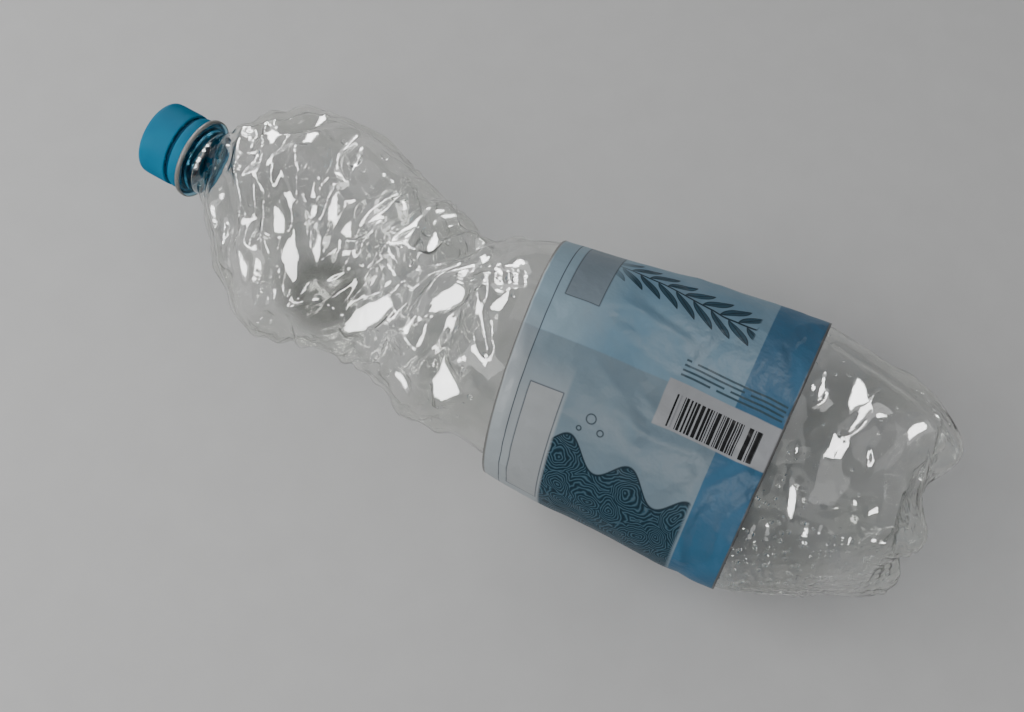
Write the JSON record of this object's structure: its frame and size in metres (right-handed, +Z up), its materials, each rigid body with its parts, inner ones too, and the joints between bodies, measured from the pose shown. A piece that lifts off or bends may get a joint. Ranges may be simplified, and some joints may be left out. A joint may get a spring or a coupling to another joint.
{
  "type": "crushed drinks bottle",
  "caption": "Crushed clear plastic drinks bottle lying on its side, with screw cap, separate tamper band, petal foot base and loose wrap-round label",
  "frame": {"origin": "bottom centre of the bounding box, on the surface the bottle lies on", "axes": "+Z up, X along the bottle's length with the cap towards -X and the base towards +X, Y across it"},
  "size_m": [0.3278, 0.113, 0.0874],
  "materials": {
    "clear_pet": "clear, glossy, creased",
    "blue_cap_plastic": "satin moulded",
    "printed_label_film": "satin printed film"
  },
  "bodies": {
    "bottle": {"bottle": "clear_pet", "label": "printed_label_film"},
    "cap": {"cap": "blue_cap_plastic"},
    "tamper_band": {"tamper_band": "blue_cap_plastic"}
  },
  "joints": [
    {"name": "cap_lift", "type": "slide", "parent": "bottle", "child": "cap", "axis": [-0.9965, 0.0837, 0], "range_m": [0, 0.04]},
    {"name": "band_turn", "type": "hinge", "parent": "bottle", "child": "tamper_band", "pos_m": [-0.1628, 0.01398, 0.04], "axis": [-0.9965, 0.0837, 0], "continuous": true}
  ]
}
